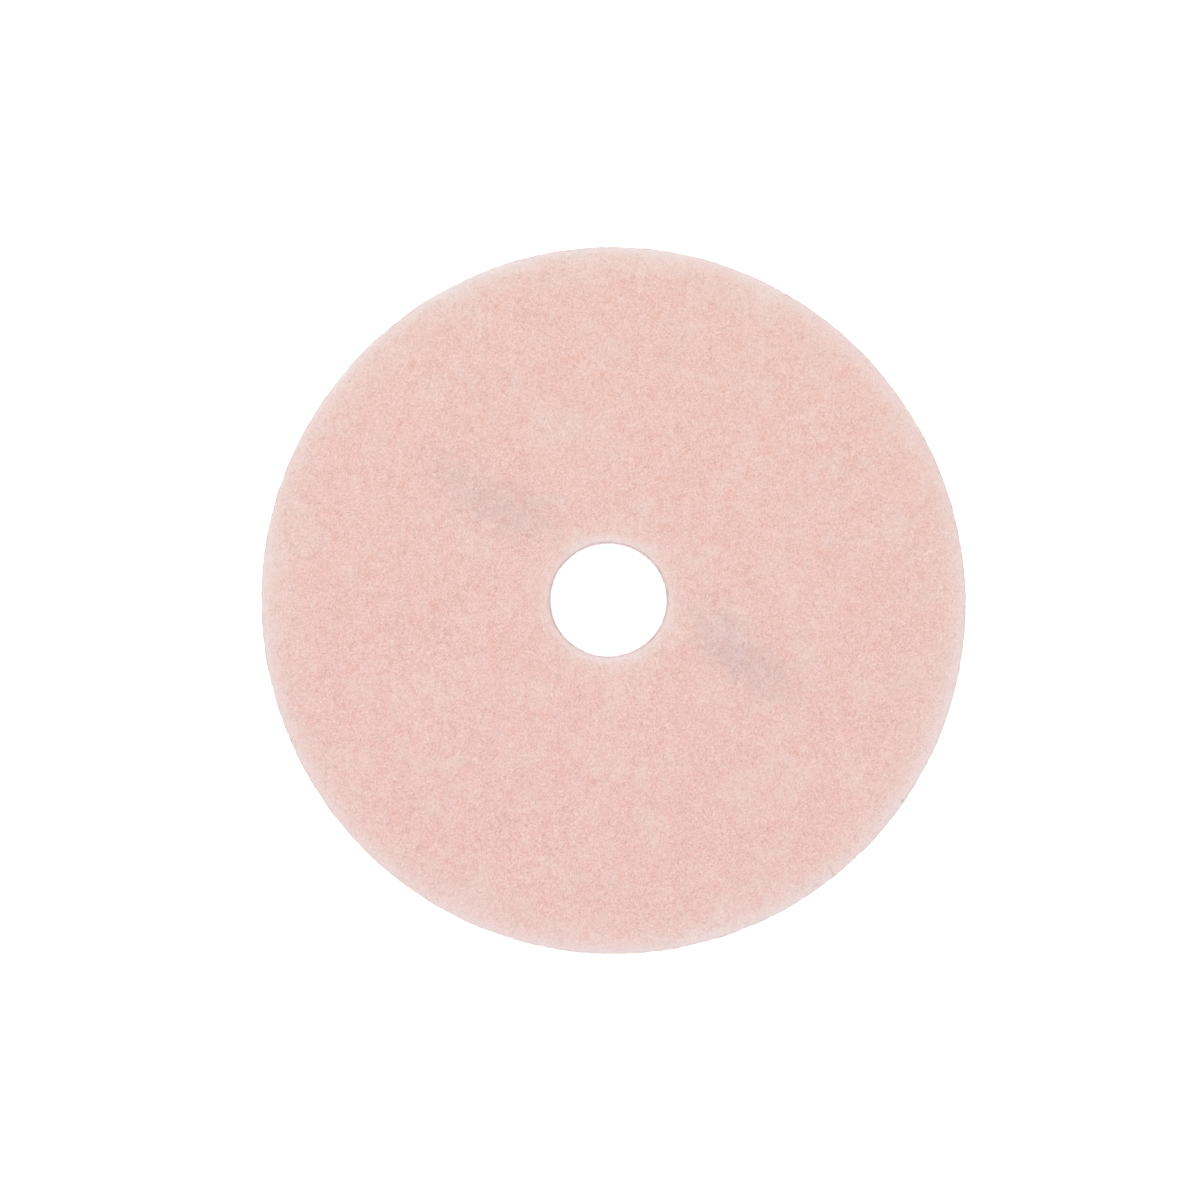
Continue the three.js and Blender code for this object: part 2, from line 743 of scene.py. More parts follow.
@dataclass(frozen=True)
class Smudge:
    """A soft stain in the upper face, longer one way than the other.

    Attributes:
        tint: Its colour.
        centre: Its middle, seen from above.
        half_length: From its middle to its end, the long way.
        half_width: From its middle to its side, the short way.
        turn: Degrees from +X to its long way.
        strength: How strongly it shows in its middle.
        raggedness: How far noise moves its edge, as a share of its size.
        height: The level of its middle.
        half_depth: How deep it goes into the web.
        lumps: How many lumps of that noise lie along half of it.
        core: The share of its size, from its middle, that shows at full strength.
    """

    tint: str
    centre: tuple[float, float]
    half_length: float
    half_width: float
    turn: float
    strength: float
    raggedness: float = 0.85
    height: float = THICKNESS
    half_depth: float = 8.0 * MM
    lumps: float = 5.0
    core: float = 0.1

    def mask(self, tree: NodeTree, place: NodeSocket) -> NodeSocket:
        """Adds a round fade in the stain's own axes, broken up by noise.

        Args:
            tree: The material's tree.
            place: Object coordinates.

        Returns:
            How strongly the tint shows, from 0 to 1.
        """
        own = add_node(
            tree,
            "ShaderNodeMapping",
            {
                "Vector": place,
                "Location": (*self.centre, self.height),
                "Rotation": (0.0, 0.0, math.radians(self.turn)),
                "Scale": (self.half_length, self.half_width, self.half_depth),
            },
            vector_type="TEXTURE",
        )
        ragged = add_node(
            tree,
            "ShaderNodeTexNoise",
            {"Vector": own, "Scale": self.lumps, "Detail": 4.0, "Roughness": 0.6},
        )
        reach = add_node(tree, VECTOR_MATH, {0: own}, operation="LENGTH")
        worn = add_node(
            tree,
            MATH,
            {0: ragged, 1: self.raggedness * 2, 2: -self.raggedness},
            operation="MULTIPLY_ADD",
        )
        edge = add_node(tree, MATH, {0: reach.outputs["Value"], 1: worn}, operation="ADD")
        shown = add_node(
            tree,
            MAP_RANGE,
            {"Value": edge, "From Min": 1.0, "From Max": self.core, "To Max": self.strength},
            interpolation_type="SMOOTHSTEP",
        )
        return shown.outputs[0]


@dataclass(frozen=True)
class PaintedNickShade:
    """Painted shade: a grey line along a nick, where shade falls in the cut.

    Attributes:
        tint: Its colour.
        nick: The nick.
        half_width: From the nick's line to where the grey ends.
        strength: How strongly it shows at the rim.
        gone_below: The height under which the wall has none.
        full_above: The height from which it shows fully.
        core: The share of its half width that shows fully.
        full_along: The share of the nick's length from which it shows fully.
    """

    tint: str
    nick: Nick
    half_width: float
    strength: float
    gone_below: float = 16 * MM
    full_above: float = 22 * MM
    core: float = 0.2
    full_along: float = 0.7

    def mask(self, tree: NodeTree, place: NodeSocket) -> NodeSocket:
        """Adds a thin line along the nick that grows stronger towards the rim and fades down the wall.

        Args:
            tree: The material's tree.
            place: Object coordinates.

        Returns:
            How strongly the tint shows, from 0 to 1.
        """
        own = add_node(
            tree,
            "ShaderNodeMapping",
            {
                "Vector": place,
                "Location": (*self.nick.start, 0.0),
                "Rotation": (0.0, 0.0, self.nick.turn),
                "Scale": (self.nick.length, self.half_width, 1.0),
            },
            vector_type="TEXTURE",
        )
        axes = add_node(tree, "ShaderNodeSeparateXYZ", {0: own})
        aside = add_node(tree, MATH, {0: axes.outputs["Y"]}, operation="ABSOLUTE")
        line = add_node(
            tree,
            MAP_RANGE,
            {"Value": aside, "From Min": 1.0, "From Max": self.core, "To Max": self.strength},
            interpolation_type="SMOOTHSTEP",
        )
        along = add_node(
            tree,
            MAP_RANGE,
            {"Value": axes.outputs["X"], "From Max": self.full_along},
        )
        shown = add_node(tree, MATH, {0: line, 1: along}, operation="MULTIPLY")
        down = add_node(
            tree,
            MAP_RANGE,
            {"Value": axes.outputs["Z"], "From Min": self.gone_below, "From Max": self.full_above},
        )
        return add_node(tree, MATH, {0: shown, 1: down}, operation="MULTIPLY").outputs[0]


@dataclass(frozen=True)
class StrandTint:
    """A share of the strands in another shade; the share lies between two values of their tint number."""

    tint: str
    start: float
    full: float
    strength: float

    def mask(self, tree: NodeTree, place: NodeSocket) -> NodeSocket:
        """Adds the number that each strand carries and keeps what lies between start and full.

        Args:
            tree: The material's tree.
            place: Object coordinates; not used.

        Returns:
            How strongly the tint shows, from 0 to 1.
        """
        number = add_node(tree, "ShaderNodeAttribute", attribute_name=StrandLayer.TINT)
        shown = add_node(
            tree,
            MAP_RANGE,
            {
                "Value": number.outputs["Fac"],
                "From Min": self.start,
                "From Max": self.full,
                "To Max": self.strength,
            },
        )
        return shown.outputs[0]


def laid_over(tree: NodeTree, under: NodeSocket | str, tint: str, mask: NodeSocket) -> NodeSocket:
    """Lays a tint over a colour where its mask shows it.

    Args:
        tree: The material's tree.
        under: The colour under the tint, from another node or as hex digits.
        tint: The tint.
        mask: How strongly the tint shows, from 0 to 1.

    Returns:
        The mixed colour.
    """
    below = linear(under) if isinstance(under, str) else under
    mixed = add_node(
        tree, "ShaderNodeMix", {MIX_FACTOR: mask, MIX_UNDER: below, MIX_OVER: linear(tint)}, data_type="RGBA"
    )
    return mixed.outputs[MIX_RESULT]


@dataclass(frozen=True)
class FineFibres:
    """Fibres too fine to model, as short strokes that lie every way, and more of them as the web was laid.

    Real ones are about 0.04 mm thick. They are drawn about half a millimetre wide, so that they show
    at the photograph's distance as its streaks of one or two pixels do.
    """

    turns: tuple[float, ...] = (32.0, 58.0, 102.0, 152.0)
    length: float = 2.0 * MM
    width: float = 0.55 * MM
    layer: float = 0.9 * MM

    def strokes(self, tree: NodeTree, place: NodeSocket) -> tuple[NodeSocket, NodeSocket]:
        """Adds one stretched noise for each direction and joins them.

        Args:
            tree: The material's tree.
            place: Object coordinates.

        Returns:
            The strokes that lie on top, and the gaps between them; both about 0.5 where there is neither.
        """
        top = low = None
        for turn in self.turns:
            own = add_node(
                tree,
                "ShaderNodeMapping",
                {
                    "Vector": place,
                    "Rotation": (0.0, 0.0, math.radians(turn)),
                    "Scale": (self.length, self.width, self.layer),
                },
                vector_type="TEXTURE",
            )
            streaks = add_node(
                tree,
                "ShaderNodeTexNoise",
                {"Vector": own, "Scale": 1.0, "Detail": 1.0, "Distortion": 0.8},
            ).outputs[0]
            if top is None:
                top = low = streaks
                continue
            top = add_node(tree, MATH, {0: top, 1: streaks}, operation="MAXIMUM").outputs[0]
            low = add_node(tree, MATH, {0: low, 1: streaks}, operation="MINIMUM").outputs[0]
        return top, low


def new_material(name: str, colour: str, constants: dict[str, float]) -> tuple[Material, Node]:
    """Makes a material with a Principled shader.

    Args:
        name: The material's name.
        colour: The colour that plain viewers show for it.
        constants: Numbers that are the same all over, by the shader's socket names.

    Returns:
        The material and its shader.
    """
    material = bpy.data.materials.new(name)
    material.use_nodes = True
    material.diffuse_color = linear(colour)
    shader = material.node_tree.nodes["Principled BSDF"]
    for socket, value in constants.items():
        shader.inputs[socket].default_value = value
    return material, shader


@dataclass(frozen=True)
class BondedWeb:
    """Nonwoven polyester web, laid by air and bonded with sprayed resin.

    It gives the eye a dry, felted face with no gloss: a haze of fine streaks in two or three pinks,
    a dusty bloom at a low angle, and painted shade, a darker pink, where the web opens between its tufts.
    """

    marks: tuple[Mark, ...]
    base: str = "#f3c5bb"
    stroke: str = "#ffeae4"
    # Painted shade in the gaps between the fibre strokes
    painted_gap_shade: str = "#bd9087"
    fibres: FineFibres = FineFibres()
    roughness: float = 0.95
    ior: float = 1.45
    sheen: float = 0.25
    sheen_roughness: float = 0.5
    relief: float = 0.35 * MM
    relief_strength: float = 0.6
    painted_gap_shade_span: tuple[float, float] = (0.43, 0.25)
    stroke_span: tuple[float, float] = (0.57, 0.75)
    on_wall: float = 0.5

    def material(self) -> Material:
        """Builds the material.

        Returns:
            The material, with the strokes lowest in it and the marks over them.
        """
        constants = {
            "Roughness": self.roughness,
            "IOR": self.ior,
            "Sheen Weight": self.sheen,
            "Sheen Roughness": self.sheen_roughness,
        }
        made, shader = new_material("bonded fibre web", self.base, constants)
        tree = made.node_tree
        place = add_node(tree, "ShaderNodeTexCoord").outputs["Object"]
        top, low = self.fibres.strokes(tree, place)
        # The strokes are end-on in the cut walls, and weaker there
        strength = add_node(
            tree, MAP_RANGE, {"Value": wall_share(tree, place), "To Min": 1.0, "To Max": self.on_wall}
        )
        colour = self.base
        # The gaps between the strokes get painted shade, and the strokes on top a paler colour
        layers = ((low, self.painted_gap_shade, self.painted_gap_shade_span), (top, self.stroke, self.stroke_span))
        for streaks, tint, (start, full) in layers:
            shown = add_node(
                tree,
                MAP_RANGE,
                {"Value": streaks, "From Min": start, "From Max": full, "To Max": strength},
            )
            colour = laid_over(tree, colour, tint, shown.outputs[0])
        for mark in self.marks:
            colour = laid_over(tree, colour, mark.tint, mark.mask(tree, place))
        bump = add_node(
            tree,
            "ShaderNodeBump",
            {
                "Height": add_node(tree, MATH, {0: top, 1: low}, operation="ADD"),
                "Strength": self.relief_strength,
                "Distance": self.relief,
            },
        )
        tree.links.new(colour, shader.inputs["Base Color"])
        tree.links.new(bump.outputs[0], shader.inputs["Normal"])
        return made


@dataclass(frozen=True)
class CrimpedStrand:
    """Polyester staple fibre, crimped, with a thin coat of resin.

    It gives the eye single paler and deeper threads over the felted ground, a little smoother than
    the ground, so that they catch the light along their backs.
    """

    marks: tuple[Mark, ...]
    base: str = "#f6d1c9"
    shades: tuple[StrandTint, ...] = (
        StrandTint("#ffebe6", 0.50, 1.0, 0.45),
        StrandTint("#e3b5a9", 0.30, 0.0, 0.52),
    )
    roughness: float = 0.7
    ior: float = 1.5

    def material(self) -> Material:
        """Builds the material.

        Returns:
            The material, with each strand's own shade lowest in it and the marks over that.
        """
        constants = {"Roughness": self.roughness, "IOR": self.ior}
        made, shader = new_material("crimped polyester strand", self.base, constants)
        tree = made.node_tree
        place = add_node(tree, "ShaderNodeTexCoord").outputs["Object"]
        colour = self.base
        for mark in self.shades + self.marks:
            colour = laid_over(tree, colour, mark.tint, mark.mask(tree, place))
        tree.links.new(colour, shader.inputs["Base Color"])
        return made


class StrandTree:
    """The node tree that lays crimped strands over a surface."""

    NUMBERS = ("Density", "Length", "Thickness", "Crimp", "Crimp Size", "Lift", "Bury", "Fan")
    CLUMP_SIZE = 9 * MM
    CLUMP_SPREAD = 0.55
    LENGTH_SPREAD = 0.4
    # Noise strays little from its mean, so it is made larger to fill the crimp's whole reach
    CRIMP_GAIN = 4.0
    # A strand thins to this share of its thickness, along an arch to this power
    TIP, TAPER = 0.5, 0.25
    # Spread a strand's number, so that its crimp and its lift don't follow its shade
    CRIMP_KEY, LIFT_KEY = 97.0, 13.7

    def __init__(self) -> None:
        """Builds the tree with its named inputs."""
        self.tree = bpy.data.node_groups.new("crimped strands", "GeometryNodeTree")
        kinds = dict.fromkeys(self.NUMBERS, "NodeSocketFloat")
        kinds |= {"Seed": "NodeSocketInt", "Finish": "NodeSocketMaterial"}
        faces = self.tree.interface
        faces.new_socket("Surface", in_out="INPUT", socket_type="NodeSocketGeometry")
        self.sockets = {}
        for name, kind in kinds.items():
            self.sockets[name] = faces.new_socket(name, in_out="INPUT", socket_type=kind).identifier
        faces.new_socket("Strands", in_out="OUTPUT", socket_type="NodeSocketGeometry")
        self.given = add_node(self.tree, "NodeGroupInput").outputs
        self.number = add_node(
            self.tree, "GeometryNodeInputNamedAttribute", {"Name": StrandLayer.TINT}, data_type="FLOAT"
        )
        self.half = add_node(self.tree, MATH, {0: self.given["Thickness"], 1: 0.5}, operation="MULTIPLY")
        arch = self.arch()
        threads = self.thread(self.bent(self.scattered(), arch), arch)
        real = add_node(self.tree, "GeometryNodeRealizeInstances", {0: threads})
        finish = {0: real, "Material": self.given["Finish"]}
        dressed = add_node(self.tree, "GeometryNodeSetMaterial", finish)
        add_node(self.tree, "NodeGroupOutput", {0: dressed})

    def arch(self) -> Node:
        """Adds a number that is 0 at a strand's ends and 1 at its middle.

        Returns:
            The node whose output it is.
        """
        along = add_node(self.tree, "GeometryNodeSplineParameter").outputs["Factor"]
        fourfold = add_node(self.tree, MATH, {0: along, 1: 4.0}, operation="MULTIPLY")
        left = add_node(self.tree, MATH, {0: 1.0, 1: along}, operation="SUBTRACT")
        return add_node(self.tree, MATH, {0: fourfold, 1: left}, operation="MULTIPLY")

    def scattered(self) -> Node:
        """Scatters straight strands over the surface, in clumps and level with it.

        Returns:
            The node that gives the strands, each with its own number.
        """
        tree, given = self.tree, self.given
        clumps = add_node(tree, "ShaderNodeTexNoise", {"Scale": 1 / self.CLUMP_SIZE, "Detail": 1.0})
        share = add_node(
            tree,
            MAP_RANGE,
            {
                "Value": clumps,
                "From Min": NOISE_LOW,
                "From Max": NOISE_HIGH,
                "To Min": 1 - self.CLUMP_SPREAD,
                "To Max": 1 + self.CLUMP_SPREAD,
            },
        )
        density = add_node(tree, MATH, {0: share, 1: given["Density"]}, operation="MULTIPLY")
        points = add_node(
            tree,
            "GeometryNodeDistributePointsOnFaces",
            {"Mesh": given["Surface"], "Density": density, "Seed": given["Seed"]},
        )
        numbers = add_node(tree, "FunctionNodeRandomValue", {RANDOM_SEED: given["Seed"]}, data_type="FLOAT")
        numbered = add_node(
            tree,
            "GeometryNodeStoreNamedAttribute",
            {
                "Geometry": points.outputs["Points"],
                "Name": StrandLayer.TINT,
                "Value": numbers.outputs[RANDOM_RESULT],
            },
            data_type="FLOAT",
        )
        normal = points.outputs["Normal"]
        upright = add_node(tree, "FunctionNodeAlignRotationToVector", {"Vector": normal}, axis="Z")
        layers = add_node(tree, VECTOR_MATH, {0: normal, 1: (0.0, 0.0, 1.0)}, operation="CROSS_PRODUCT")
        level = add_node(
            tree,
            "FunctionNodeAlignRotationToVector",
            {"Rotation": upright, "Vector": layers},
            axis="X",
            pivot_axis="Z",
        )
        turn = add_node(
            tree,
            "FunctionNodeRandomValue",
            {
                RANDOM_LOW: add_node(tree, MATH, {0: given["Fan"], 1: -1.0}, operation="MULTIPLY"),
                RANDOM_HIGH: given["Fan"],
                RANDOM_SEED: add_node(tree, MATH, {0: given["Seed"], 1: 1.0}, operation="ADD"),
            },
            data_type="FLOAT",
        )
        swing = add_node(tree, "ShaderNodeCombineXYZ", {"Z": turn.outputs[RANDOM_RESULT]})
        spin = add_node(tree, "FunctionNodeEulerToRotation", {0: swing})
        turned = add_node(tree, "FunctionNodeRotateRotation", {0: level, 1: spin}, rotation_space="LOCAL")
        shares = add_node(
            tree,
            "FunctionNodeRandomValue",
            {
                RANDOM_LOW: 1 - self.LENGTH_SPREAD,
                RANDOM_HIGH: 1 + self.LENGTH_SPREAD,
                RANDOM_SEED: add_node(tree, MATH, {0: given["Seed"], 1: 2.0}, operation="ADD"),
            },
            data_type="FLOAT",
        )
        length = add_node(
            tree, MATH, {0: shares.outputs[RANDOM_RESULT], 1: given["Length"]}, operation="MULTIPLY"
        )
        size = add_node(tree, "ShaderNodeCombineXYZ", {"X": length, "Y": 1.0, "Z": 1.0})
        line = add_node(tree, "GeometryNodeCurvePrimitiveLine", {"Start": (-0.5, 0, 0), "End": (0.5, 0, 0)})
        stepped = add_node(tree, "GeometryNodeResampleCurve", {"Curve": line, "Count": StrandLayer.RINGS})
        laid = add_node(
            tree,
            "GeometryNodeInstanceOnPoints",
            {"Points": numbered, "Instance": stepped, "Rotation": turned, "Scale": size},
        )
        # Each strand bends by itself, so they are made real before the bending too
        return add_node(tree, "GeometryNodeRealizeInstances", {0: laid})

    def bent(self, strands: Node, arch: Node) -> Node:
        """Crimps the strands, lays them against the surface and tucks their ends into it.

        Args:
            strands: What scattered gives.
            arch: What arch gives.

        Returns:
            The node that gives the bent strands.
        """
        tree, given = self.tree, self.given
        place = add_node(tree, "GeometryNodeInputPosition")
        crimp = add_node(
            tree,
            "ShaderNodeTexNoise",
            {
                "Vector": place,
                "W": add_node(tree, MATH, {0: self.number, 1: self.CRIMP_KEY}, operation="MULTIPLY"),
                "Scale": add_node(tree, MATH, {0: 1.0, 1: given["Crimp Size"]}, operation="DIVIDE"),
                "Detail": 0.0,
            },
            noise_dimensions="4D",
        )
        mean = (NOISE_MEAN,) * 3
        centred = add_node(tree, VECTOR_MATH, {0: crimp.outputs[1], 1: mean}, operation="SUBTRACT")
        reach = add_node(tree, MATH, {0: given["Crimp"], 1: self.CRIMP_GAIN}, operation="MULTIPLY")
        push = add_node(tree, VECTOR_MATH, {0: centred, "Scale": reach}, operation="SCALE")
        swayed = add_node(tree, VECTOR_MATH, {0: place, 1: push}, operation="ADD")
        nearest, normal = (
            add_node(
                tree,
                "GeometryNodeSampleNearestSurface",
                {"Mesh": given["Surface"], "Value": add_node(tree, kind), "Sample Position": swayed},
                data_type="FLOAT_VECTOR",
            )
            for kind in ("GeometryNodeInputPosition", "GeometryNodeInputNormal")
        )
        spread = add_node(tree, MATH, {0: self.number, 1: self.LIFT_KEY}, operation="MULTIPLY")
        part = add_node(tree, MATH, {0: spread}, operation="FRACT")
        lift = add_node(tree, MATH, {0: part, 1: given["Lift"]}, operation="MULTIPLY")
        crown = add_node(tree, MATH, {0: lift, 1: given["Bury"]}, operation="ADD")
        rise = add_node(tree, MATH, {0: arch, 1: crown}, operation="MULTIPLY")
        height = add_node(tree, MATH, {0: rise, 1: given["Bury"]}, operation="SUBTRACT")
        away = add_node(tree, VECTOR_MATH, {0: normal, "Scale": height}, operation="SCALE")
        settled = add_node(tree, VECTOR_MATH, {0: nearest, 1: away}, operation="ADD")
        axes = add_node(tree, "ShaderNodeSeparateXYZ", {0: settled}).outputs
        off_floor = add_node(tree, MATH, {0: axes["Z"], 1: self.half}, operation="MAXIMUM")
        final = add_node(tree, "ShaderNodeCombineXYZ", {0: axes["X"], 1: axes["Y"], 2: off_floor})
        return add_node(tree, "GeometryNodeSetPosition", {0: strands, "Position": final})

    def thread(self, strands: Node, arch: Node) -> Node:
        """Gives the strands their thickness, as closed tubes that thin towards the ends.

        Args:
            strands: What bent gives.
            arch: What arch gives.

        Returns:
            The node that gives the tubes.
        """
        tree = self.tree
        fullness = add_node(tree, MATH, {0: arch, 1: self.TAPER}, operation="POWER")
        taper = add_node(tree, MATH, {0: fullness, 1: self.TIP}, operation="MAXIMUM")
        tapered = add_node(tree, "GeometryNodeSetCurveRadius", {0: strands, "Radius": taper})
        section = add_node(
            tree, "GeometryNodeCurvePrimitiveCircle", {"Resolution": StrandLayer.SIDES, "Radius": self.half}
        )
        tubes = add_node(
            tree,
            "GeometryNodeCurveToMesh",
            {"Curve": tapered, "Profile Curve": section, "Fill Caps": True},
        )
        return add_node(tree, "GeometryNodeSetShadeSmooth", {0: tubes})


@dataclass(frozen=True)
class StrandLayer:
    """The loose strands on one surface of the pad.

    Real fibres are about 0.04 mm thick. The strands are drawn several times as thick, so that they
    show at the photograph's distance.

    Attributes:
        name: The piece's name.
        region: The surface.
        density: Strands to a square metre.
        seed: What their places, turns and lengths are drawn from.
        length: Their mean length.
        thickness: Their thickness at mid length.
        crimp: How far the crimp pushes them aside.
        crimp_size: The distance from one bend to the next.
        lift: How far the highest stand off the surface at mid length.
        bury: How deep their ends are tucked in.
        fan: How many degrees they stray from the web's level layers.
    """

    name: str
    region: Region
    density: float
    seed: int
    length: float = 7 * MM
    thickness: float = 0.25 * MM
    crimp: float = 0.7 * MM
    crimp_size: float = 3.5 * MM
    lift: float = 0.15 * MM
    bury: float = 0.22 * MM
    fan: float = 180.0

    TINT = "strand_tint"
    RINGS = 5
    SIDES = 3
    # A strand's cell in the bake map: its margins, the shares that the strand fills, and its caps' reach
    CELL_MARGIN = (0.16, 0.14)
    CELL_SHARE = (0.68, 0.72)
    CAP_REACH = 0.12

    def lay(self, web: WebBody, strands: StrandTree, finish: Material) -> Object:
        """Lays the strands over their surface.

        Args:
            web: The body of the web.
            strands: The tree that scatters and bends them.
            finish: Their material.

        Returns:
            The strands as one plain mesh object.
        """
        host = web.surface(f"{self.name}_host", self.region)
        modifier = host.modifiers.new("strands", "NODES")
        modifier.node_group = strands.tree
        values = {
            "Density": self.density,
            "Length": self.length,
            "Thickness": self.thickness,
            "Crimp": self.crimp,
            "Crimp Size": self.crimp_size,
            "Lift": self.lift,
            "Bury": self.bury,
            "Fan": math.radians(self.fan),
            "Seed": self.seed,
            "Finish": finish,
        }
        for name, value in values.items():
            modifier[strands.sockets[name]] = value
        graph = bpy.context.evaluated_depsgraph_get()
        mesh = bpy.data.meshes.new_from_object(
            host.evaluated_get(graph), preserve_all_data_layers=True, depsgraph=graph
        )
        mesh.name = self.name
        host.modifiers.remove(modifier)
        bpy.data.objects.remove(host)
        self.lay_out(mesh)
        piece = bpy.data.objects.new(self.name, mesh)
        bpy.context.scene.collection.objects.link(piece)
        return piece

    def lay_out(self, mesh: Mesh) -> None:
        """Gives every strand a cell of its own in the bake map, so that no two share a pixel.

        Args:
            mesh: The strands, each with its rings of vertices in a row.
        """
        corners = np.empty(len(mesh.loops), dtype=np.int32)
        mesh.loops.foreach_get("vertex_index", corners)
        sizes = np.empty(len(mesh.polygons), dtype=np.int32)
        mesh.polygons.foreach_get("loop_total", sizes)
        strand, within = np.divmod(corners, self.RINGS * self.SIDES)
        ring, side = np.divmod(within, self.SIDES)
        starts = np.concatenate([[0], np.cumsum(sizes)[:-1]])
        spread = np.maximum.reduceat(side, starts) - np.minimum.reduceat(side, starts)
        is_cap = np.repeat(sizes == self.SIDES, sizes)
        closes = np.repeat(spread > 1, sizes) & ~is_cap & (side == 0)
        along = ring / (self.RINGS - 1)
        round_it = (side + self.SIDES * closes) / self.SIDES
        # A cap is seen end-on, so it gets a small triangle past the strand's end
        past = np.where(is_cap & (side == 1), np.sign(along - 0.5) * self.CAP_REACH, 0.0)
        row_length = math.ceil(math.sqrt(strand.max() + 1))
        row, column = np.divmod(strand, row_length)
        within_cell = np.stack([along + past, round_it], axis=1) * self.CELL_SHARE + self.CELL_MARGIN
        places = (np.stack([column, row], axis=1) + within_cell) / row_length
        mesh.uv_layers.new(name=BAKE_MAP).uv.foreach_set("vector", places.ravel())


@dataclass(frozen=True)
class Studio:
    """A pale floor, soft light from all round and one large soft lamp, with the camera overhead.

    Attributes:
        lens: The camera's focal length, in millimetres.
        sensor: The width of its sensor, in millimetres.
        frame_width: How wide the picture is at the height of focus.
        aim: The place under the middle of the picture.
        focus_height: The height at which the picture has that width.
        floor_size: The floor's side.
        floor_white: The floor's own colour.
        floor_glow: What the floor adds to that for the eye alone.
        horizon_light: The surround's strength at the horizon.
        zenith_light: Its strength overhead.
        lamp_share: The light that the lamp gives, where 1 shows a white as white.
        lamp_size: The lamp's diameter.
        lamp_place: Where the lamp hangs.
    """

    lens: float = 85.0
    sensor: float = 36.0
    frame_width: float = 865.1 * MM
    aim: tuple[float, float] = (-9.60 * MM, 0.61 * MM)
    focus_height: float = MID_HEIGHT
    floor_size: float = 12.0
    floor_white: str = "#f6f6f6"
    floor_glow: float = 0.42
    horizon_light: float = 1.10
    zenith_light: float = 0.5
    lamp_share: float = 0.34
    lamp_size: float = 2.0
    lamp_place: tuple[float, float, float] = (-0.25, 0.3, 3.5)

    def build(self) -> None:
        """Sets up camera, lamp, surround and floor."""
        self.place_camera()
        self.place_lamp()
        self.light_surround()
        self.lay_floor()
        bpy.context.scene.view_settings.view_transform = "Standard"

    def place_camera(self) -> None:
        """Puts the camera straight above the pad, at the photograph's scale and framing."""
        data = bpy.data.cameras.new("camera")
        data.lens = self.lens
        data.sensor_width = self.sensor
        camera = bpy.data.objects.new("camera", data)
        camera.location = (*self.aim, self.focus_height + self.frame_width * self.lens / self.sensor)
        bpy.context.scene.collection.objects.link(camera)
        bpy.context.scene.camera = camera

    def place_lamp(self) -> None:
        """Hangs the lamp up and to the left, with the power that gives its share of a plain light level."""
        data = bpy.data.lights.new("soft lamp", "AREA")
        data.shape = "DISK"
        data.size = self.lamp_size
        place = Vector(self.lamp_place)
        slant = place.normalized().z
        data.energy = self.lamp_share * math.pi**2 * place.length_squared / slant
        lamp = bpy.data.objects.new("soft lamp", data)
        lamp.location = place
        lamp.rotation_euler = place.to_track_quat("Z", "Y").to_euler()
        bpy.context.scene.collection.objects.link(lamp)

    def seen_rays(self, tree: NodeTree) -> NodeSocket:
        """Adds the nodes that tell the rays that are looked along from the light that falls.

        Args:
            tree: The tree of the floor or the surround.

        Returns:
            A number that is 1 for rays that the eye, a mirror or a glass sends out, and 0 for others.
        """
        rays = add_node(tree, "ShaderNodeLightPath").outputs
        mirrored = add_node(
            tree,
            MATH,
            {0: rays["Is Glossy Ray"], 1: rays["Is Transmission Ray"]},
            operation="MAXIMUM",
        )
        seen = add_node(
            tree, MATH, {0: rays["Is Camera Ray"], 1: mirrored}, operation="MAXIMUM"
        )
        return seen.outputs[0]

    def light_surround(self) -> None:
        """Makes the surround white to the eye and a soft even light to the pad."""
        world = bpy.data.worlds.new("white surround")
        world.use_nodes = True
        tree = world.node_tree
        outwards = add_node(tree, "ShaderNodeTexCoord").outputs["Generated"]
        heading = add_node(tree, "ShaderNodeSeparateXYZ", {0: outwards})
        light = add_node(
            tree,
            MAP_RANGE,
            {"Value": heading.outputs["Z"], "To Min": self.horizon_light, "To Max": self.zenith_light},
        )
        strength = add_node(
            tree,
            MAP_RANGE,
            {"Value": self.seen_rays(tree), "To Min": light, "To Max": 1.0},
        )
        background = tree.nodes["Background"]
        background.inputs["Color"].default_value = (1.0, 1.0, 1.0, 1.0)
        tree.links.new(strength.outputs[0], background.inputs["Strength"])
        bpy.context.scene.world = world

    def lay_floor(self) -> None:
        """Lays a wide white floor that keeps the pad's soft shadow."""
        half = self.floor_size / 2
        mesh = bpy.data.meshes.new("floor")
        corners = [(-half, -half, 0), (half, -half, 0), (half, half, 0), (-half, half, 0)]
        mesh.from_pydata(corners, [], [(0, 1, 2, 3)])
        material = bpy.data.materials.new("matt white floor")
        material.use_nodes = True
        tree = material.node_tree
        tree.nodes.remove(tree.nodes["Principled BSDF"])
        matt = add_node(tree, "ShaderNodeBsdfDiffuse", {"Color": linear(self.floor_white)})
        glow = add_node(
            tree,
            MATH,
            {0: self.seen_rays(tree), 1: self.floor_glow},
            operation="MULTIPLY",
        )
        shine = add_node(tree, "ShaderNodeEmission", {"Strength": glow})
        both = add_node(tree, "ShaderNodeAddShader", {0: matt, 1: shine})
        tree.links.new(both.outputs[0], tree.nodes["Material Output"].inputs["Surface"])
        mesh.materials.append(material)
        floor = bpy.data.objects.new("floor", mesh)
        bpy.context.scene.collection.objects.link(floor)


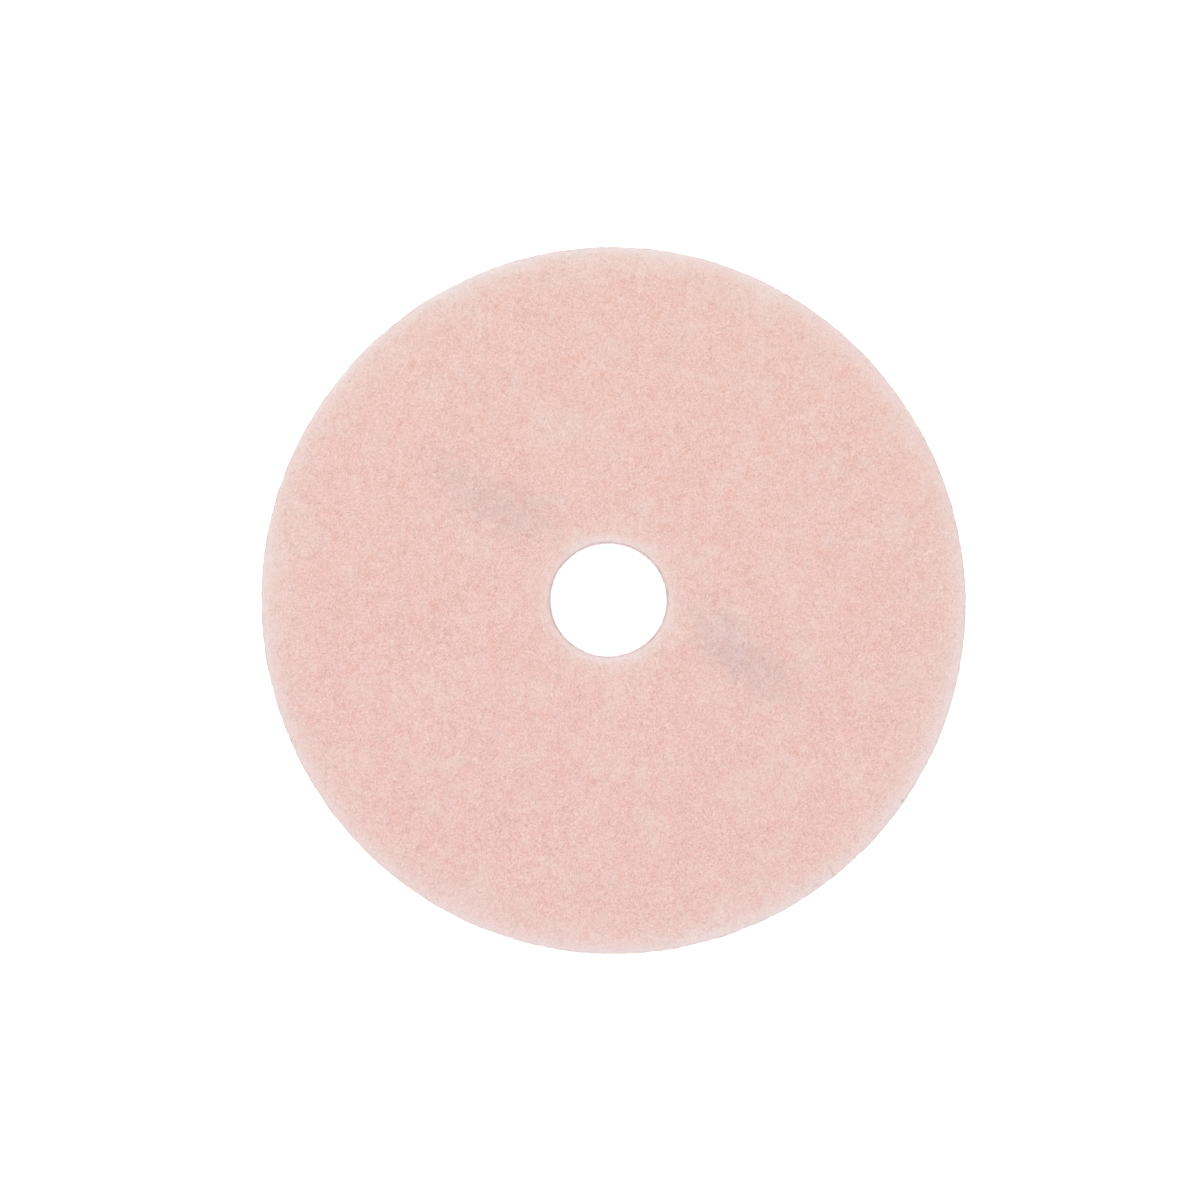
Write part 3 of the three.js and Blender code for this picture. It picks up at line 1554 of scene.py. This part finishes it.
@dataclass
class PolishingPad:
    """The whole pad: the body of the web and the strands on each of its surfaces."""

    hole: Outline = Outline(
        centre=(-3.5 * MM, 0.65 * MM), radius=41.25 * MM, waves=(Wave(2, 0.6 * MM, 0.0),)
    )
    rim: Outline = Outline(
        centre=(0.0, 0.0),
        radius=254.0 * MM,
        waves=(Wave(2, 0.65 * MM, 114.0), Wave(3, 0.26 * MM, -23.0), Wave(4, 0.18 * MM, -11.0)),
    )
    layers: tuple[StrandLayer, ...] = (
        StrandLayer("upper_strands_lower_layer", Region.UPPER, density=35000, seed=3),
        StrandLayer("upper_strands_middle_layer", Region.UPPER, density=35000, seed=7),
        StrandLayer("upper_strands_top_layer", Region.UPPER, density=35000, seed=17),
        StrandLayer("under_strands", Region.UNDER, density=24000, seed=29, length=10 * MM),
        StrandLayer("rim_strands", Region.RIM, density=160000, seed=41, fan=28, lift=0.35 * MM),
        StrandLayer(
            "hole_strands", Region.HOLE, density=190000, seed=53, length=6 * MM, fan=28, lift=0.35 * MM
        ),
    )

    def marks(self) -> tuple[Mark, ...]:
        """Lists what changes the web's colour, from the dye up to the dirt, with painted light along the
        cut edges and painted shade in the nick.

        Returns:
            The marks, the lowest first.
        """
        return (
            Drift("#eec9b8", towards=80.0, reach=250 * MM, strength=0.30),
            Drift("#eec1c1", towards=-100.0, reach=250 * MM, strength=0.25),
            Mottle("#efdcd7", size=22 * MM, start=0.45, full=0.75, strength=0.28, offset=1.0),
            Mottle("#efdad6", size=7 * MM, start=0.45, full=0.75, strength=0.24, offset=2.0),
            Mottle("#edb2a2", size=9 * MM, start=0.50, full=0.78, strength=0.33, offset=3.0),
            Strata("#dda79b", lie=9 * MM, layer=0.9 * MM, strength=0.45),
            # Painted light: paler bands along the rim and the hole, for light through the thin cut edges and
            # against the shade on their rolls and the hole's wall
            PaintedEdgeLight("#f1e7e5", self.rim, side=1, fade=10 * MM, strength=0.76, patch=0.1),
            PaintedEdgeLight("#f1e7e5", self.hole, side=-1, fade=9 * MM, strength=0.48, patch=0.1),
            PaintedEdgeLight("#fffaf8", self.rim, side=1, fade=2 * MM, strength=0.3),
            PaintedEdgeLight("#fff7f4", self.hole, side=-1, fade=2 * MM, strength=0.82, on_wall=0.75),
            Smudge("#c4b0b9", (-73 * MM, 64 * MM), 57 * MM, 30 * MM, turn=-20.0, strength=0.22),
            Smudge("#c4b6bf", (-114 * MM, 88 * MM), 46 * MM, 24 * MM, turn=-35.0, strength=0.13),
            Smudge("#c4afb8", (79 * MM, -29 * MM), 42 * MM, 32 * MM, turn=-55.0, strength=0.21),
            Smudge("#c4afb8", (106 * MM, -52 * MM), 46 * MM, 30 * MM, turn=-30.0, strength=0.22),
            Smudge(
                "#7d564d",
                (207.2 * MM, -143.2 * MM),
                1.6 * MM,
                0.9 * MM,
                turn=75.0,
                strength=0.8,
                raggedness=0.1,
            ),
            # Painted shade along the nick
            PaintedNickShade("#b39a94", RIM_NICK, half_width=0.65 * MM, strength=0.5),
        )

    def build(self) -> None:
        """Makes every piece, dresses it and ties it to the model."""
        web = WebBody(self.hole, self.rim, THICKNESS)
        web.shape()
        body = web.surface("web_body")
        body.data.materials.append(BondedWeb(self.marks()).material())
        self.tie(body)
        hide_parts(CAD_NODE)
        tree = StrandTree()
        finish = CrimpedStrand(self.marks()).material()
        for layer in self.layers:
            self.tie(layer.lay(web, tree, finish))

    def tie(self, piece: Object) -> None:
        """Makes a finished piece ride on the model and reports it.

        Args:
            piece: The piece, as a plain mesh with its material on it.
        """
        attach(piece, BODY)
        piece.data.calc_loop_triangles()
        LOG.info("%s: %d triangles", piece.name, len(piece.data.loop_triangles))


def main() -> None:
    """Builds the studio and the pad."""
    logging.basicConfig(level=logging.INFO, format="%(name)s: %(message)s")
    Studio().build()
    PolishingPad().build()


if __name__ == "__main__":
    main()
